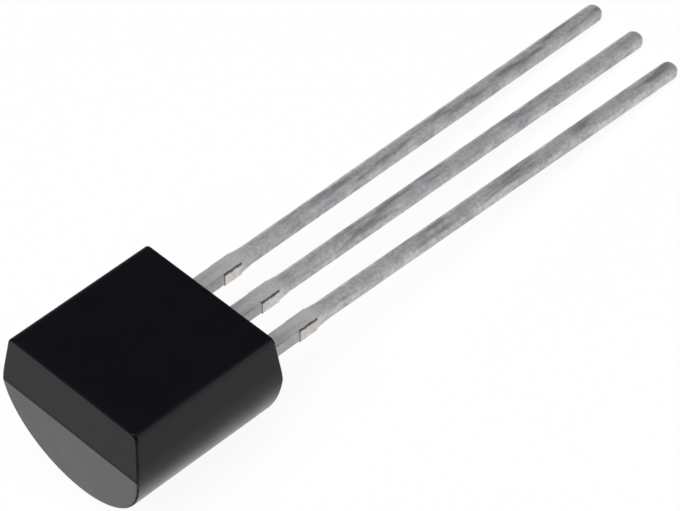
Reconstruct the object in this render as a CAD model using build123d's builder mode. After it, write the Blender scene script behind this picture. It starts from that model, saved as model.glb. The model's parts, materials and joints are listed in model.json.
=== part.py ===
from build123d import *
from math import asin, atan2, cos, degrees, hypot, radians, sin, tan
import os

# A three-lead transistor in a D-shaped moulded body, lying flat face up as it comes to rest:
# on the rim of its round back and on the tips of its leads. Millimetres, +Z up, +X along the leads.

# Moulded body, measured at the parting line and from it. Its round back is as wide as the body, about
# an axis that lies a little in front of the parting line.
body_width = 4.58
body_length = 4.61
front_depth = 1.36
back_centre_height = 0.10
end_draft_angle = 6.25
side_draft_angle = 7.4
corner_radius = 0.06
long_edge_radius = 0.18

# Lead frame, stamped from one strip that lies just behind the parting line
lead_pitch = 1.27
lead_drop = 0.11
lead_width = 0.46
lead_thickness = 0.38
strip_edge_radius = 0.05

# Outer leads, from the end of the body to their tips, rounded by the tin that they were dipped in,
# with the slight lean of each in the row
lead_edge_radius = 0.14
tip_corner_radius = 0.20
emitter_length = 14.35
collector_length = 14.56
base_length = 14.56
emitter_lean_angle = -0.85
collector_lean_angle = -0.45
base_lean_angle = 0.1

# Stubs left where the tie bar was sheared off close to the leads, and the length beyond them over
# which the tin comes to its full roundness
stub_start = 1.28
stub_length = 0.575
stub_width = 0.48
stub_roll_radius = 0.04
tin_runout = 0.35

# Plates inside the body: a flag for the chip, and a post for each wire
plate_corner_radius = 0.10
flag_width = 1.50
flag_length = 1.50
flag_end_cover = 1.00
post_length = 0.80
post_setback = 1.10
post_reach_share = 0.45

# Chip and its bond to the flag
die_width = 0.55
die_thickness = 0.20
pad_spacing = 0.26
attach_thickness = 0.025
attach_margin = 0.03

# Bond wires
wire_diameter = 0.04
ball_diameter = 0.10
ball_height = 0.03
foot_length = 0.14
foot_width = 0.08
foot_thickness = 0.03
loop_height = 0.35
loop_radius = 0.06

# Length by which a cutting profile passes the body
overrun = 0.50

# Draft as sideways lean for each unit of depth
end_lean = tan(radians(end_draft_angle))
side_lean = tan(radians(side_draft_angle))

# Section of the body: the round back, and the straight sides that run smoothly from it to the flat face
back_radius = body_width / 2
back_depth = back_radius - back_centre_height
side_start = back_radius * cos(radians(side_draft_angle))
side_foot = back_centre_height + back_radius * sin(radians(side_draft_angle))
flat_half_width = side_start - (front_depth - side_foot) * side_lean

# The part touches the floor at the rounded rim below the leads and at the rounded lead tips.
# Both rounds are circles seen from the side, and the floor is the line below that touches both.
longest_lead = max(emitter_length, collector_length, base_length)
rim_height = corner_radius - back_depth
rim_setback = corner_radius / cos(radians(end_draft_angle)) - rim_height * end_lean
tip_height = lead_edge_radius - lead_thickness / 2 - lead_drop
tip_reach = longest_lead - lead_edge_radius
rim_to_tip = hypot(tip_reach + rim_setback, tip_height - rim_height)
rest_angle = atan2(tip_height - rim_height, tip_reach + rim_setback)
rest_angle += asin((corner_radius - lead_edge_radius) / rim_to_tip)

# The parting plane leans down towards the tips: its X runs along the leads, its Z out of the flat face.
# It starts where the centre lead leaves the body, placed so that the part is centred over the origin.
exit_height = corner_radius - rim_setback * sin(rest_angle) - rim_height * cos(rest_angle)
far_end = (body_length - rim_setback) * cos(rest_angle) - rim_height * sin(rest_angle) + corner_radius
tip_top = tip_height + lead_thickness - 2 * lead_edge_radius
tip_end = tip_reach * cos(rest_angle) + tip_top * sin(rest_angle) + lead_edge_radius
exit_place = (far_end - tip_end) / 2
parting_plane = Plane((exit_place, 0, exit_height)).rotated((0, degrees(rest_angle), 0))
cross_plane = Plane(parting_plane.origin, x_dir=parting_plane.y_dir, z_dir=parting_plane.x_dir)
side_plane = Plane(parting_plane.origin, x_dir=parting_plane.x_dir, z_dir=-parting_plane.y_dir)
along_leads = Axis(parting_plane.origin, parting_plane.x_dir)
out_of_flat = Axis(parting_plane.origin, parting_plane.z_dir)

# Levels above the parting plane, and places along the leads
frame_front = lead_thickness / 2 - lead_drop
die_front = frame_front + attach_thickness + die_thickness
stub_end = stub_start + stub_length
flag_start = flag_length + flag_end_cover - body_length
flag_centre = flag_start - flag_length / 2
post_centre = -post_setback - post_length / 2
post_width = 2 * post_reach_share * (body_width / 2 - lead_pitch)


def stamped_lead(place, length, lean_angle, plate_start, plate_length, plate_width):
    # One lead of the frame: tinned shank to the tip, tie bar stub, neck, and the plate inside the body
    strip_plane = parting_plane.offset(-lead_drop)
    lean_point = strip_plane.from_local_coords((stub_end, place, 0))
    lean_dir = strip_plane.x_dir.rotate(out_of_flat, lean_angle)
    shank_plane = Plane(lean_point, x_dir=lean_dir, z_dir=strip_plane.z_dir)
    shank_point = shank_plane.from_local_coords((tin_runout, 0, 0))
    shank_start = Plane(shank_point, x_dir=shank_plane.y_dir, z_dir=lean_dir)
    stub_plane = Plane(lean_point, x_dir=strip_plane.y_dir, z_dir=strip_plane.x_dir)
    with BuildPart() as lead:
        with BuildSketch(shank_plane):
            with Locations((tin_runout, 0)):
                Rectangle(length - stub_end - tin_runout, lead_width, align=(Align.MIN, Align.CENTER))
            tip_corners = vertices().group_by(Axis.X)[-1]
            fillet(tip_corners, tip_corner_radius)
        extrude(amount=lead_thickness / 2, both=True)
        front_and_back = lead.faces().filter_by(out_of_flat)
        start_edges = front_and_back.edges().group_by(Axis(lean_point, lean_dir))[0]
        fillet(front_and_back.edges() - start_edges, lead_edge_radius)
        with BuildSketch(stub_plane):
            RectangleRounded(lead_width, lead_thickness, strip_edge_radius)
        with BuildSketch(shank_start):
            RectangleRounded(lead_width, lead_thickness, lead_edge_radius)
        loft(ruled=True)
        with BuildSketch(stub_plane):
            RectangleRounded(lead_width, lead_thickness, strip_edge_radius)
        extrude(amount=plate_start - plate_corner_radius - stub_end)
        with BuildSketch(stub_plane):
            Rectangle(stub_width, lead_thickness)
            rolled_corners = vertices().group_by(Axis.Y)[-1]
            fillet(rolled_corners, stub_roll_radius)
        extrude(amount=-stub_length)
        with BuildSketch(strip_plane):
            with Locations((plate_start - plate_length / 2, place)):
                RectangleRounded(plate_length, plate_width, plate_corner_radius)
        extrude(amount=lead_thickness / 2, both=True)
    return lead.part


def bond_wire(pad_place, post_place):
    # One wire: ball on the chip, up, over in a bend, and down a slope to a flattened foot on the post
    pad = parting_plane.from_local_coords((flag_centre, pad_place, die_front))
    foot = parting_plane.from_local_coords((post_centre, post_place, frame_front))
    reach = hypot(post_centre - flag_centre, post_place - pad_place)
    level_foot = parting_plane.from_local_coords((post_centre, post_place, die_front))
    heading = (level_foot - pad).normalized()
    loop_plane = Plane(pad, x_dir=heading, z_dir=heading.cross(parting_plane.z_dir))
    with BuildPart() as wire:
        with BuildLine(loop_plane):
            FilletPolyline(
                (0, 0),
                (0, loop_height),
                (reach, frame_front - die_front + wire_diameter / 2),
                radius=loop_radius,
            )
        with BuildSketch(Plane(pad, z_dir=parting_plane.z_dir)):
            Circle(wire_diameter / 2)
        sweep()
        with BuildSketch(Plane(pad, z_dir=parting_plane.z_dir)):
            Circle(ball_diameter / 2)
        extrude(amount=ball_height)
        with BuildSketch(Plane(foot, x_dir=heading, z_dir=parting_plane.z_dir)):
            Rectangle(foot_length, foot_width)
        extrude(amount=foot_thickness)
    return wire.part


post_plate = (-post_setback, post_length, post_width)
flag_plate = (flag_start, flag_length, flag_width)
emitter_lead = stamped_lead(-lead_pitch, emitter_length, emitter_lean_angle, *post_plate)
collector_lead = stamped_lead(0, collector_length, collector_lean_angle, *flag_plate)
base_lead = stamped_lead(lead_pitch, base_length, base_lean_angle, *post_plate)

with BuildPart() as die_attach:
    with BuildSketch(parting_plane.offset(frame_front)):
        with Locations((flag_centre, 0)):
            Rectangle(die_width + 2 * attach_margin, die_width + 2 * attach_margin)
    extrude(amount=attach_thickness)

with BuildPart() as silicon_die:
    with BuildSketch(parting_plane.offset(frame_front + attach_thickness)):
        with Locations((flag_centre, 0)):
            Rectangle(die_width, die_width)
    extrude(amount=die_thickness)

emitter_bond_wire = bond_wire(-pad_spacing / 2, -lead_pitch)
base_bond_wire = bond_wire(pad_spacing / 2, lead_pitch)

pieces = {
    "emitter_lead": emitter_lead,
    "collector_lead": collector_lead,
    "base_lead": base_lead,
    "die_attach": die_attach.part,
    "silicon_die": silicon_die.part,
    "emitter_bond_wire": emitter_bond_wire,
    "base_bond_wire": base_bond_wire,
}

# The epoxy: a D in section, cut to length by ends that lean in from the parting line both ways,
# rounded along the flat face, softened at its corners and rims, and moulded round what it holds
with BuildPart() as moulded_body:
    with BuildSketch(cross_plane):
        with BuildLine():
            Polyline(
                (side_start, side_foot),
                (flat_half_width, front_depth),
                (-flat_half_width, front_depth),
                (-side_start, side_foot),
            )
            ThreePointArc((-side_start, side_foot), (0, -back_depth), (side_start, side_foot))
        make_face()
    extrude(amount=-body_length)
    with BuildSketch(side_plane):
        with BuildLine():
            front_inset = (front_depth + overrun) * end_lean
            back_inset = (back_depth + overrun) * end_lean
            Polyline(
                (0, 0),
                (-front_inset, front_depth + overrun),
                (front_inset - body_length, front_depth + overrun),
                (-body_length, 0),
                (back_inset - body_length, -back_depth - overrun),
                (-back_inset, -back_depth - overrun),
                close=True,
            )
        make_face()
    extrude(amount=body_width, both=True, mode=Mode.INTERSECT)
    flat_face = moulded_body.faces().sort_by(out_of_flat)[-1]
    fillet(flat_face.edges().filter_by(along_leads), long_edge_radius)
    edges_across = moulded_body.edges().filter_by(along_leads, reverse=True)
    parting_edges = edges_across.filter_by(Axis.Y).group_by(out_of_flat)[0]
    fillet(edges_across - parting_edges, corner_radius)
    add(pieces.values(), mode=Mode.SUBTRACT)

pieces["moulded_body"] = moulded_body.part

os.makedirs("parts", exist_ok=True)
for name, piece in pieces.items():
    piece.label = name
    export_step(piece, f"parts/{name}.step")
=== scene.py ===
import bpy
import bmesh
import json
import math
from mathutils import Matrix, Vector

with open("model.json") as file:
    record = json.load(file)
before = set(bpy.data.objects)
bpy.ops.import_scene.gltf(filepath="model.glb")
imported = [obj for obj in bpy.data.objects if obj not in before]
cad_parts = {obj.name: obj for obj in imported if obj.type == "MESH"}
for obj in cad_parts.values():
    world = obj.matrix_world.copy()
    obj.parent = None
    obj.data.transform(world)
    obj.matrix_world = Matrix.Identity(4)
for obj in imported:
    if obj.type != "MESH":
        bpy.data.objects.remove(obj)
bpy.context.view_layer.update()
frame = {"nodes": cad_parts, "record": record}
nodes = frame["nodes"]
mm = 0.001
print("frame loaded:", len(nodes), "pieces")

# The part's own directions as it lies: along the leads, across their row, and out of the flat face
mounts = {mount["name"]: mount for mount in frame["record"]["mounts"]}
alongLeads = Vector(mounts["lead_row"]["axis"]).normalized()
outOfFlat = Vector(mounts["flat_face"]["axis"]).normalized()
acrossRow = outOfFlat.cross(alongLeads)

moulding = {
    "lengthMm": 4.61,  # along the leads, at the parting line
    "frontDepthMm": 1.36,  # parting line to flat face
    "leadPitchMm": 1.27,
    "stubStartMm": 1.28,  # sheared tie bar stubs, from the body's end
    "stubEndMm": 1.855,
    "stubHalfWidthMm": 0.24,
    "stubFrontMm": 0.08,  # above the parting line
}

flatCentre = Vector(mounts["flat_face"]["pos_m"])
exitPoint = flatCentre - outOfFlat * moulding["frontDepthMm"] * mm
exitPoint += alongLeads * moulding["lengthMm"] / 2 * mm
leadTurn = Matrix((alongLeads, acrossRow, outOfFlat)).transposed().to_4x4()
leadFrame = Matrix.Translation(exitPoint) @ leadTurn


def linearColour(hexText):
    channels = [int(hexText[i:i + 2], 16) / 255 for i in (1, 3, 5)]
    linear = [c / 12.92 if c <= 0.04045 else ((c + 0.055) / 1.055) ** 2.4 for c in channels]
    return (*linear, 1.0)


# Adds a node with its settings and links; a Mix node mixes numbers in 2 and 3, and colours in 6 and 7
def addNode(tree, kind, links=None, **settings):
    node = tree.nodes.new(kind)
    for name, value in settings.items():
        setattr(node, name, value)
    for socket, value in (links or {}).items():
        if isinstance(value, bpy.types.NodeSocket):
            tree.links.new(value, node.inputs[socket])
        else:
            node.inputs[socket].default_value = value
    return node


def newMaterial(name):
    material = bpy.data.materials.new(name)
    material.use_nodes = True
    material.node_tree.nodes.clear()
    return material, material.node_tree


# Places on the part in millimetres along the leads, across the row and out of the flat
def addPlaces(tree):
    turned = leadFrame.inverted()
    coordinates = addNode(tree, "ShaderNodeTexCoord")
    return addNode(tree, "ShaderNodeMapping", {
        "Vector": coordinates.outputs["Object"],
        "Location": turned.translation / mm,
        "Rotation": turned.to_euler(),
        "Scale": (1 / mm, 1 / mm, 1 / mm),
    }).outputs["Vector"]


# Share of the surface's facing that lies in one of the part's directions
def addFacing(tree, direction):
    geometry = addNode(tree, "ShaderNodeNewGeometry")
    return addNode(tree, "ShaderNodeVectorMath", {
        0: geometry.outputs["Normal"], 1: direction}, operation="DOT_PRODUCT").outputs["Value"]


# Transfer-moulded epoxy: silica-filled and near black, with the fine satin grain of an eroded mould.
# The back half of the mould is polished smoother, so the floor shines more in that half.
epoxy = {
    "black": "#08070c",
    "dusty": "#0b0a11",
    "roughness": 0.36,
    "backRoughness": 0.29,
    "unevenRoughness": 0.03,
    "specular": 0.18,
    "backSpecular": 0.42,
    "edgeSpecular": 0.34,  # along the flat's near rounded edge, where the mould wears smooth
    "farEdgeSpecular": 0.03,
    "edgeTurn": (0.15, 0.42),  # product of the facings out of the flat and across the row
    "farEdgeTurn": (0.03, 0.15),  # the same, times the facing out of the flat again
    "cornerSpecular": 0.03,
    "cornerTurn": (0.055, 0.085),  # product of all the facings
    "endFacing": (0.7, 0.95),  # facing along the leads from which a surface is an end
    "endTurn": 0.08,  # facing out of the flat at which one finish gives way to the other
    "roundTurn": (-0.06, -0.34),
    "flashMm": 0.13,  # dull ragged border left along the parting line by the flash
    "flashRagMm": 0.12,
    "flashDullness": 0.28,
    "grainMm": 0.05,  # the real grain is about 0.01 mm, drawn coarser so that it shows
    "grainHeightMm": 0.0015,
    "grainStrength": 0.6,
    "cloudMm": 0.9,
    "cloudLayers": 4.0,
    "cloudSpread": (0.3, 0.7),  # range that the cloud pattern mostly covers
    "sharpness": 0.6,  # of both patterns
}


def makeEpoxy():
    material, tree = newMaterial("moulded black epoxy")
    places = addPlaces(tree)
    clouds = addNode(tree, "ShaderNodeTexNoise", {
        "Vector": places, "Scale": 1 / epoxy["cloudMm"],
        "Detail": epoxy["cloudLayers"], "Roughness": epoxy["sharpness"]})
    grain = addNode(tree, "ShaderNodeTexNoise", {
        "Vector": places, "Scale": 1 / epoxy["grainMm"], "Roughness": epoxy["sharpness"]})
    colour = addNode(tree, "ShaderNodeMix", {
        "Factor": clouds.outputs["Fac"],
        6: linearColour(epoxy["black"]),
        7: linearColour(epoxy["dusty"]),
    }, data_type="RGBA")

    # 0 on the front half of the mould, 1 on its back half: a step on the ends, gradual on the round
    ends = addNode(tree, "ShaderNodeMath", {0: addFacing(tree, alongLeads)}, operation="ABSOLUTE")
    onEnds = addNode(tree, "ShaderNodeMapRange", {
        "Value": ends.outputs[0],
        "From Min": epoxy["endFacing"][0], "From Max": epoxy["endFacing"][1]})
    outward = addFacing(tree, outOfFlat)
    endHalf = addNode(tree, "ShaderNodeMapRange", {
        "Value": outward, "From Min": epoxy["endTurn"], "From Max": -epoxy["endTurn"]})
    roundHalf = addNode(tree, "ShaderNodeMapRange", {
        "Value": outward, "From Min": epoxy["roundTurn"][0], "From Max": epoxy["roundTurn"][1]})
    half = addNode(tree, "ShaderNodeMix", {
        "Factor": onEnds.outputs["Result"],
        2: roundHalf.outputs["Result"], 3: endHalf.outputs["Result"]})
    smoothness = addNode(tree, "ShaderNodeMix", {
        "Factor": half.outputs[0], 2: epoxy["roughness"], 3: epoxy["backRoughness"]})
    uneven = addNode(tree, "ShaderNodeMapRange", {
        "Value": clouds.outputs["Fac"],
        "From Min": epoxy["cloudSpread"][0], "From Max": epoxy["cloudSpread"][1],
        "To Min": -epoxy["unevenRoughness"], "To Max": epoxy["unevenRoughness"]})
    roughness = addNode(tree, "ShaderNodeMath", {0: smoothness.outputs[0], 1: uneven.outputs["Result"]})

    # The flash border lies on the ends, from the parting line into the front half
    rag = addNode(tree, "ShaderNodeMapRange", {
        "Value": grain.outputs["Fac"],
        "To Min": -epoxy["flashRagMm"] / 2, "To Max": epoxy["flashRagMm"] / 2})
    height = addNode(tree, "ShaderNodeSeparateXYZ", {"Vector": places})
    ragged = addNode(tree, "ShaderNodeMath", {0: height.outputs["Z"], 1: rag.outputs["Result"]})
    border = addNode(tree, "ShaderNodeMapRange", {
        "Value": ragged.outputs[0], "From Min": epoxy["flashMm"], "From Max": epoxy["flashMm"] / 2,
        "To Min": 0.0, "To Max": epoxy["flashDullness"]})
    front = addNode(tree, "ShaderNodeMath", {0: 1.0, 1: half.outputs[0]}, operation="SUBTRACT")
    onFront = addNode(tree, "ShaderNodeMath", {
        0: onEnds.outputs["Result"], 1: front.outputs[0]}, operation="MULTIPLY")
    dull = addNode(tree, "ShaderNodeMath", {
        0: border.outputs["Result"], 1: onFront.outputs[0]}, operation="MULTIPLY")
    gloss = addNode(tree, "ShaderNodeMix", {
        "Factor": half.outputs[0], 2: epoxy["specular"], 3: epoxy["backSpecular"]})
    bordered = addNode(tree, "ShaderNodeMix", {"Factor": dull.outputs[0], 2: gloss.outputs[0], 3: 0.0})

    # The near long edge of the flat is smoother than the faces, the far one and the corners duller
    slanted = addNode(tree, "ShaderNodeMath", {
        0: outward, 1: addFacing(tree, acrossRow)}, operation="MULTIPLY")
    onEdge = addNode(tree, "ShaderNodeMapRange", {
        "Value": slanted.outputs[0],
        "From Min": -epoxy["edgeTurn"][0], "From Max": -epoxy["edgeTurn"][1]})
    smoothed = addNode(tree, "ShaderNodeMix", {
        "Factor": onEdge.outputs["Result"], 2: bordered.outputs[0], 3: epoxy["edgeSpecular"]})
    tilted = addNode(tree, "ShaderNodeMath", {0: slanted.outputs[0], 1: outward}, operation="MULTIPLY")
    onFarEdge = addNode(tree, "ShaderNodeMapRange", {
        "Value": tilted.outputs[0],
        "From Min": epoxy["farEdgeTurn"][0], "From Max": epoxy["farEdgeTurn"][1]})
    edged = addNode(tree, "ShaderNodeMix", {
        "Factor": onFarEdge.outputs["Result"], 2: smoothed.outputs[0], 3: epoxy["farEdgeSpecular"]})
    steep = addNode(tree, "ShaderNodeMath", {0: slanted.outputs[0]}, operation="ABSOLUTE")
    pointed = addNode(tree, "ShaderNodeMath", {
        0: steep.outputs[0], 1: ends.outputs[0]}, operation="MULTIPLY")
    onCorner = addNode(tree, "ShaderNodeMapRange", {
        "Value": pointed.outputs[0],
        "From Min": epoxy["cornerTurn"][0], "From Max": epoxy["cornerTurn"][1]})
    specular = addNode(tree, "ShaderNodeMix", {
        "Factor": onCorner.outputs["Result"], 2: edged.outputs[0], 3: epoxy["cornerSpecular"]})

    bump = addNode(tree, "ShaderNodeBump", {
        "Strength": epoxy["grainStrength"],
        "Distance": epoxy["grainHeightMm"] * mm, "Height": grain.outputs["Fac"]})
    shader = addNode(tree, "ShaderNodeBsdfPrincipled", {
        "Base Color": colour.outputs[2],
        "Roughness": roughness.outputs[0],
        "Specular IOR Level": specular.outputs[0],
        "Normal": bump.outputs["Normal"],
    })
    addNode(tree, "ShaderNodeOutputMaterial", {"Surface": shader.outputs["BSDF"]})
    return material


# Matt tin plate on stamped steel strip: soft grey, clouded, with darker stains where the flux dried,
# kept to the tops as painted shade.
# Its dull oxide film scatters light, so it is not all metal to the eye.
tin = {
    "light": "#d2d2d4",
    "dark": "#aaabae",
    "stain": "#77777a",
    "metallic": 0.65,
    "roughness": 0.54,
    "unevenRoughness": 0.06,
    "layers": 3.0,  # of each pattern
    "grainMm": 0.10,
    "grainSharpness": 0.6,
    "cloudMm": 0.55,
    "cloudSharpness": 0.55,
    "cloudShare": 0.5,
    "contrast": (0.38, 0.62),
    "patternShiftMm": (0.0, 4.7, 0.0),  # moves the clouds and stains to other places
    "stainMm": (1.2, 0.20, 0.20),  # along the leads, across them and through them
    "stained": (0.48, 0.66),
    "stainDepth": 0.72,
    "stainAndShadeTurn": (0.35, 0.8),  # facing out of the flat from which the stains lie, which darkens the tops as painted shade
    "lumpMm": 0.10,
    "lumpHeightMm": 0.006,
    "lumpStrength": 0.7,
    "sideTurn": (0.15, 0.35),  # facing across the row from which a surface is a side
}

# The tin lies clean and even on the necks; their sides are coloured a darker grey than their fronts, as
# painted shade
neck = {
    "front": "#e3e4e6",
    # painted shade: the necks' sides, where the neighbouring lead and the body shade them
    "side": "#abacae",
    "cover": 0.50,  # share of the tin's own clouding that is lost there
    "fadeMm": 0.40,  # beyond the stubs
}

# The sheared ends of the tie bar are bare steel, burnished bright, with a dark ragged line of painted
# shade along their top edge and another at their end nearest the body
shear = {
    "bright": "#dcd8d3",
    # painted shade for the dark lines on the sheared faces
    "scored": "#b4b0ab",
    "paintedShadeLine": "#6e6462",
    "metallic": 1.0,
    "roughness": 0.30,
    "startShadeLineMm": 0.035,  # painted shade line at the sheared face's end nearest the body
    "shadeLineSpanMm": (-0.02, 0.055),  # painted shade along the edge, from the front of the stub to so far down its sheared face
    "shadeLineRagMm": 0.12,
    "ragMm": 0.11,
    "softMm": 0.015,
}


def makeTin():
    material, tree = newMaterial("matt tin plate on stamped steel")
    places = addPlaces(tree)
    pattern = addNode(tree, "ShaderNodeVectorMath", {
        0: places, 1: tin["patternShiftMm"]}, operation="ADD").outputs["Vector"]
    grain = addNode(tree, "ShaderNodeTexNoise", {
        "Vector": pattern, "Scale": 1 / tin["grainMm"],
        "Detail": tin["layers"], "Roughness": tin["grainSharpness"]})
    clouds = addNode(tree, "ShaderNodeTexNoise", {
        "Vector": pattern, "Scale": 1 / tin["cloudMm"],
        "Detail": tin["layers"], "Roughness": tin["cloudSharpness"]})
    blended = addNode(tree, "ShaderNodeMix", {
        "Factor": tin["cloudShare"], 2: grain.outputs["Fac"], 3: clouds.outputs["Fac"]})
    shade = addNode(tree, "ShaderNodeMapRange", {
        "Value": blended.outputs[0], "From Min": tin["contrast"][0], "From Max": tin["contrast"][1]})
    plate = addNode(tree, "ShaderNodeMix", {
        "Factor": shade.outputs["Result"],
        6: linearColour(tin["dark"]),
        7: linearColour(tin["light"]),
    }, data_type="RGBA")
    drawn = addNode(tree, "ShaderNodeMapping", {
        "Vector": pattern, "Scale": [1 / size for size in tin["stainMm"]]})
    drying = addNode(tree, "ShaderNodeTexNoise", {
        "Vector": drawn.outputs["Vector"], "Scale": 1.0, "Detail": tin["layers"]})
    stains = addNode(tree, "ShaderNodeMapRange", {
        "Value": drying.outputs["Fac"], "From Min": tin["stained"][0], "From Max": tin["stained"][1],
        "To Min": 0.0, "To Max": tin["stainDepth"]})
    # Partly painted shade: real stains, but kept to the faces turned out of the flat, so the lead tops
    # darken
    stainTopsShadeMask = addNode(tree, "ShaderNodeMapRange", {
        "Value": addFacing(tree, outOfFlat),
        "From Min": tin["stainAndShadeTurn"][0], "From Max": tin["stainAndShadeTurn"][1]})
    stainsAndTopShade = addNode(tree, "ShaderNodeMath", {
        0: stains.outputs["Result"], 1: stainTopsShadeMask.outputs["Result"]}, operation="MULTIPLY")
    stained = addNode(tree, "ShaderNodeMix", {
        "Factor": stainsAndTopShade.outputs[0],
        6: plate.outputs[2],
        7: linearColour(tin["stain"]),
    }, data_type="RGBA")

    # Places across each lead, and how far the surface looks across the row
    split = addNode(tree, "ShaderNodeSeparateXYZ", {"Vector": places})
    pitch = moulding["leadPitchMm"]
    across = addNode(tree, "ShaderNodeMath", {
        0: split.outputs["Y"], 1: pitch / 2, 2: -pitch / 2}, operation="WRAP")
    sideways = addNode(tree, "ShaderNodeMath", {0: addFacing(tree, acrossRow)}, operation="ABSOLUTE")

    # Share that lies on the stub, and share that lies on the neck before it
    begun = addNode(tree, "ShaderNodeMapRange", {
        "Value": split.outputs["X"],
        "From Min": moulding["stubStartMm"] - shear["softMm"], "From Max": moulding["stubStartMm"]})
    ended = addNode(tree, "ShaderNodeMapRange", {
        "Value": split.outputs["X"],
        "From Min": moulding["stubEndMm"] + shear["softMm"], "From Max": moulding["stubEndMm"]})
    onStub = addNode(tree, "ShaderNodeMath", {
        0: begun.outputs["Result"], 1: ended.outputs["Result"]}, operation="MULTIPLY")
    beforeStub = addNode(tree, "ShaderNodeMath", {
        0: 1.0, 1: begun.outputs["Result"]}, operation="SUBTRACT")
    turned = addNode(tree, "ShaderNodeMapRange", {
        "Value": sideways.outputs[0], "From Min": tin["sideTurn"][0], "From Max": tin["sideTurn"][1]})
    # Painted shade: the sides of the necks take the darker grey
    neckShadeMask = addNode(tree, "ShaderNodeMath", {
        0: beforeStub.outputs[0], 1: turned.outputs["Result"]}, operation="MULTIPLY")
    neckTone = addNode(tree, "ShaderNodeMix", {
        "Factor": neckShadeMask.outputs[0],
        6: linearColour(neck["front"]),
        7: linearColour(neck["side"]),
    }, data_type="RGBA")
    nearBody = addNode(tree, "ShaderNodeMapRange", {
        "Value": split.outputs["X"],
        "From Min": moulding["stubEndMm"] + neck["fadeMm"], "From Max": moulding["stubEndMm"],
        "To Min": 0.0, "To Max": neck["cover"]})
    plated = addNode(tree, "ShaderNodeMix", {
        "Factor": nearBody.outputs["Result"],
        6: stained.outputs[2],
        7: neckTone.outputs[2],
    }, data_type="RGBA")

    # Sheared face: bright past a painted shade line at its end nearest the body, and scored by the
    # shear
    sheared = addNode(tree, "ShaderNodeMath", {
        0: onStub.outputs[0], 1: turned.outputs["Result"]}, operation="MULTIPLY")
    pastLine = addNode(tree, "ShaderNodeMapRange", {
        "Value": split.outputs["X"],
        "From Min": moulding["stubStartMm"] + shear["startShadeLineMm"] / 2,
        "From Max": moulding["stubStartMm"] + shear["startShadeLineMm"] / 2 + shear["softMm"]})
    scored = addNode(tree, "ShaderNodeMix", {
        "Factor": shade.outputs["Result"],
        6: linearColour(shear["scored"]),
        7: linearColour(shear["bright"]),
    }, data_type="RGBA")
    steel = addNode(tree, "ShaderNodeMix", {
        "Factor": pastLine.outputs["Result"],
        6: linearColour(shear["paintedShadeLine"]),
        7: scored.outputs[2],
    }, data_type="RGBA")
    cut = addNode(tree, "ShaderNodeMix", {
        "Factor": sheared.outputs[0], 6: plated.outputs[2], 7: steel.outputs[2]}, data_type="RGBA")

    # Ragged line of painted shade, from a little over the front of the stub to a little down its
    # sheared face
    rag = addNode(tree, "ShaderNodeTexNoise", {
        "Vector": places, "Scale": 1 / shear["ragMm"]})
    ragged = addNode(tree, "ShaderNodeMapRange", {
        "Value": rag.outputs["Fac"],
        "To Min": moulding["stubFrontMm"] - moulding["stubHalfWidthMm"] - shear["shadeLineRagMm"] / 2,
        "To Max": moulding["stubFrontMm"] - moulding["stubHalfWidthMm"] + shear["shadeLineRagMm"] / 2})
    fromEdge = addNode(tree, "ShaderNodeMath", {0: split.outputs["Z"], 1: across.outputs[0]})
    down = addNode(tree, "ShaderNodeMath", {
        0: ragged.outputs["Result"], 1: fromEdge.outputs[0]}, operation="SUBTRACT")
    above = addNode(tree, "ShaderNodeMapRange", {
        "Value": down.outputs[0],
        "From Min": shear["shadeLineSpanMm"][0] - shear["softMm"], "From Max": shear["shadeLineSpanMm"][0]})
    below = addNode(tree, "ShaderNodeMapRange", {
        "Value": down.outputs[0],
        "From Min": shear["shadeLineSpanMm"][1] + shear["softMm"], "From Max": shear["shadeLineSpanMm"][1]})
    edge = addNode(tree, "ShaderNodeMath", {
        0: above.outputs["Result"], 1: below.outputs["Result"]}, operation="MULTIPLY")
    paintedShadeLine = addNode(tree, "ShaderNodeMath", {
        0: edge.outputs[0], 1: onStub.outputs[0]}, operation="MULTIPLY")
    colour = addNode(tree, "ShaderNodeMix", {
        "Factor": paintedShadeLine.outputs[0],
        6: cut.outputs[2],
        7: linearColour(shear["paintedShadeLine"]),
    }, data_type="RGBA")

    uneven = addNode(tree, "ShaderNodeMapRange", {
        "Value": shade.outputs["Result"],
        "To Min": tin["roughness"] + tin["unevenRoughness"],
        "To Max": tin["roughness"] - tin["unevenRoughness"]})
    roughness = addNode(tree, "ShaderNodeMix", {
        "Factor": sheared.outputs[0], 2: uneven.outputs["Result"], 3: shear["roughness"]})
    metallic = addNode(tree, "ShaderNodeMix", {
        "Factor": sheared.outputs[0], 2: tin["metallic"], 3: shear["metallic"]})
    lumps = addNode(tree, "ShaderNodeTexNoise", {
        "Vector": pattern, "Scale": 1 / tin["lumpMm"], "Detail": tin["layers"]})
    bump = addNode(tree, "ShaderNodeBump", {
        "Strength": tin["lumpStrength"],
        "Distance": tin["lumpHeightMm"] * mm, "Height": lumps.outputs["Fac"]})
    shader = addNode(tree, "ShaderNodeBsdfPrincipled", {
        "Base Color": colour.outputs[2],
        "Metallic": metallic.outputs[0],
        "Roughness": roughness.outputs[0],
        "Normal": bump.outputs["Normal"],
    })
    addNode(tree, "ShaderNodeOutputMaterial", {"Surface": shader.outputs["BSDF"]})
    return material


# Sawn silicon, cured silver paste and drawn gold: all sealed in the epoxy
inner = {
    "silicon": {"name": "polished silicon", "light": "#5a5c66", "dark": "#3c3d47",
                "metallic": 0.6, "roughness": 0.18, "patchMm": 0.12, "layers": 3.0},
    "silver": {"name": "cured silver paste", "light": "#d6d3cb", "dark": "#a9a69d",
               "metallic": 1.0, "roughness": 0.55, "patchMm": 0.05, "layers": 3.0},
    "gold": {"name": "drawn gold wire", "light": "#f0cb6a", "dark": "#c99a3c",
             "metallic": 1.0, "roughness": 0.25, "patchMm": 0.03, "layers": 3.0},
}


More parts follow.
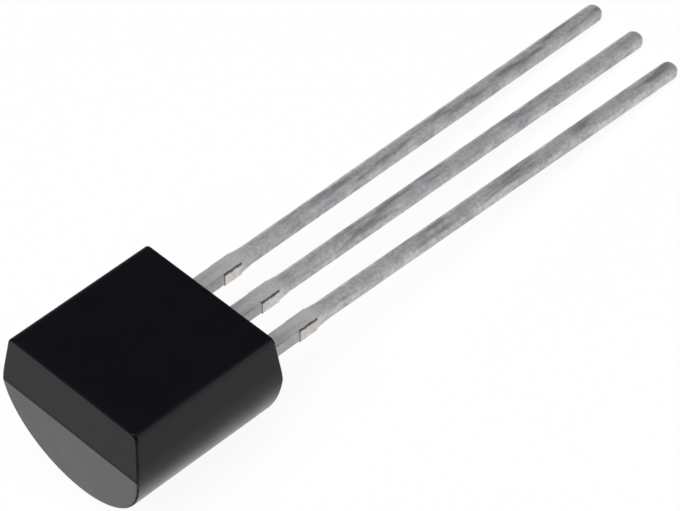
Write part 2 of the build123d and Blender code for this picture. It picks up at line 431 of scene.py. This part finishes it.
def makeInner(finish):
    material, tree = newMaterial(finish["name"])
    patches = addNode(tree, "ShaderNodeTexNoise", {
        "Vector": addPlaces(tree), "Scale": 1 / finish["patchMm"], "Detail": finish["layers"]})
    colour = addNode(tree, "ShaderNodeMix", {
        "Factor": patches.outputs["Fac"],
        6: linearColour(finish["dark"]),
        7: linearColour(finish["light"]),
    }, data_type="RGBA")
    shader = addNode(tree, "ShaderNodeBsdfPrincipled", {
        "Base Color": colour.outputs[2],
        "Metallic": finish["metallic"],
        "Roughness": finish["roughness"],
    })
    addNode(tree, "ShaderNodeOutputMaterial", {"Surface": shader.outputs["BSDF"]})
    return material


tinPlate = makeTin()
goldWire = makeInner(inner["gold"])
finishes = {
    "moulded_body": makeEpoxy(),
    "emitter_lead": tinPlate,
    "collector_lead": tinPlate,
    "base_lead": tinPlate,
    "silicon_die": makeInner(inner["silicon"]),
    "die_attach": makeInner(inner["silver"]),
    "emitter_bond_wire": goldWire,
    "base_bond_wire": goldWire,
}
for name, material in finishes.items():
    nodes[name].data.materials.clear()
    nodes[name].data.materials.append(material)
print("finishes given to", len(finishes), "pieces")


# White floor that turns up in a low cove all round
floor = {
    "radiusMm": 480.0,
    "coveRadiusMm": 60.0,
    "coveSteps": 8,
    "sides": 96,
    "mergeMm": 0.01,
    "white": "#f4f4f4",
    "shadowShare": 0.07,  # part of the white that is lit and can fall into shadow
}


def makeFloor():
    outline = [(0.0, 0.0), (floor["radiusMm"], 0.0)]
    for step in range(1, floor["coveSteps"] + 1):
        turn = math.pi / 2 * step / floor["coveSteps"]
        outline.append((
            floor["radiusMm"] + floor["coveRadiusMm"] * math.sin(turn),
            floor["coveRadiusMm"] * (1 - math.cos(turn)),
        ))
    mesh = bpy.data.meshes.new("studioFloor")
    build = bmesh.new()
    rim = [build.verts.new((r * mm, 0, z * mm)) for r, z in outline]
    edges = [build.edges.new(pair) for pair in zip(rim, rim[1:])]
    bmesh.ops.spin(build, geom=rim + edges, cent=(0, 0, 0), axis=(0, 0, 1),
                   angle=2 * math.pi, steps=floor["sides"], use_merge=True)
    bmesh.ops.remove_doubles(build, verts=build.verts, dist=floor["mergeMm"] * mm)
    bmesh.ops.recalc_face_normals(build, faces=build.faces)
    for face in build.faces:
        face.smooth = True
    build.to_mesh(mesh)
    build.free()
    piece = bpy.data.objects.new("studioFloor", mesh)
    bpy.context.collection.objects.link(piece)

    material, tree = newMaterial("white studio floor")
    paths = addNode(tree, "ShaderNodeLightPath")
    seen = addNode(tree, "ShaderNodeMath", {
        0: paths.outputs["Is Camera Ray"], 1: paths.outputs["Is Glossy Ray"]}, operation="MAXIMUM")
    shown = addNode(tree, "ShaderNodeMath", {
        0: seen.outputs[0], 1: paths.outputs["Is Transmission Ray"]}, operation="MAXIMUM")
    white = linearColour(floor["white"])
    lit = [channel * floor["shadowShare"] for channel in white[:3]]
    paint = addNode(tree, "ShaderNodeBsdfDiffuse", {"Color": white})
    shaded = addNode(tree, "ShaderNodeBsdfDiffuse", {"Color": (*lit, 1.0)})
    glow = addNode(tree, "ShaderNodeEmission", {"Strength": 1 - floor["shadowShare"]})
    bright = addNode(tree, "ShaderNodeAddShader", {0: shaded.outputs[0], 1: glow.outputs[0]})
    surface = addNode(tree, "ShaderNodeMixShader", {
        "Fac": shown.outputs[0], 1: paint.outputs[0], 2: bright.outputs[0]})
    addNode(tree, "ShaderNodeOutputMaterial", {"Surface": surface.outputs[0]})
    mesh.materials.append(material)


makeFloor()
print("floor laid")


# A soft box beside the camera, one overhead, a weak panel opposite the near side, a low white card
# beyond the leads, and a dim room
lights = {
    "key": {"azimuthDeg": -78.0, "elevationDeg": 52.0, "sizeMm": 260.0, "watts": 0.75},
    "top": {"azimuthDeg": -45.0, "elevationDeg": 82.0, "sizeMm": 200.0, "watts": 0.5},
    "panel": {"azimuthDeg": 38.0, "elevationDeg": 24.0, "sizeMm": 160.0, "watts": 0.10},
    "card": {"azimuthDeg": 156.0, "elevationDeg": 14.0, "sizeMm": 150.0, "watts": 0.12},
}
room = {"lampDistanceMm": 320.0, "grey": "#303030", "strength": 0.9}


def makeLights():
    for name, box in lights.items():
        azimuth, elevation = math.radians(box["azimuthDeg"]), math.radians(box["elevationDeg"])
        away = Vector((
            math.sin(azimuth) * math.cos(elevation),
            -math.cos(azimuth) * math.cos(elevation),
            math.sin(elevation),
        ))
        lamp = bpy.data.lights.new(name, "AREA")
        lamp.shape = "DISK"
        lamp.size = box["sizeMm"] * mm
        lamp.energy = box["watts"]
        holder = bpy.data.objects.new(name, lamp)
        holder.location = away * room["lampDistanceMm"] * mm
        holder.rotation_mode = "QUATERNION"
        holder.rotation_quaternion = away.to_track_quat("Z", "Y")
        bpy.context.collection.objects.link(holder)
    world = bpy.data.worlds.new("dim studio")
    bpy.context.scene.world = world
    world.use_nodes = True
    world.node_tree.nodes.clear()
    sky = addNode(world.node_tree, "ShaderNodeBackground", {
        "Color": linearColour(room["grey"]), "Strength": room["strength"]})
    addNode(world.node_tree, "ShaderNodeOutputWorld", {"Surface": sky.outputs[0]})


makeLights()
print("lights placed")


# A long lens from above the end of the body; places are in the leads' own directions
view = {
    "cameraMm": (-45.288, -48.876, 70.715),
    "aimMm": (3.731, -0.364, 0.0),
    "rollDeg": -0.648,
    "lensMm": 220.57,
    "sensorMm": 36.0,
}


def makeCamera():
    place = leadFrame @ (Vector(view["cameraMm"]) * mm)
    aim = leadFrame @ (Vector(view["aimMm"]) * mm)
    forward = (aim - place).normalized()
    right = forward.cross(outOfFlat).normalized()
    right.rotate(Matrix.Rotation(math.radians(view["rollDeg"]), 3, forward))
    up = right.cross(forward)
    data = bpy.data.cameras.new("camera")
    data.sensor_width = view["sensorMm"]
    data.lens = view["lensMm"]
    data.clip_start = mm
    camera = bpy.data.objects.new("camera", data)
    turn = Matrix((right, up, -forward)).transposed().to_4x4()
    camera.matrix_world = Matrix.Translation(place) @ turn
    bpy.context.collection.objects.link(camera)
    bpy.context.scene.camera = camera


makeCamera()
bpy.context.scene.view_settings.view_transform = "Standard"
print("camera set")
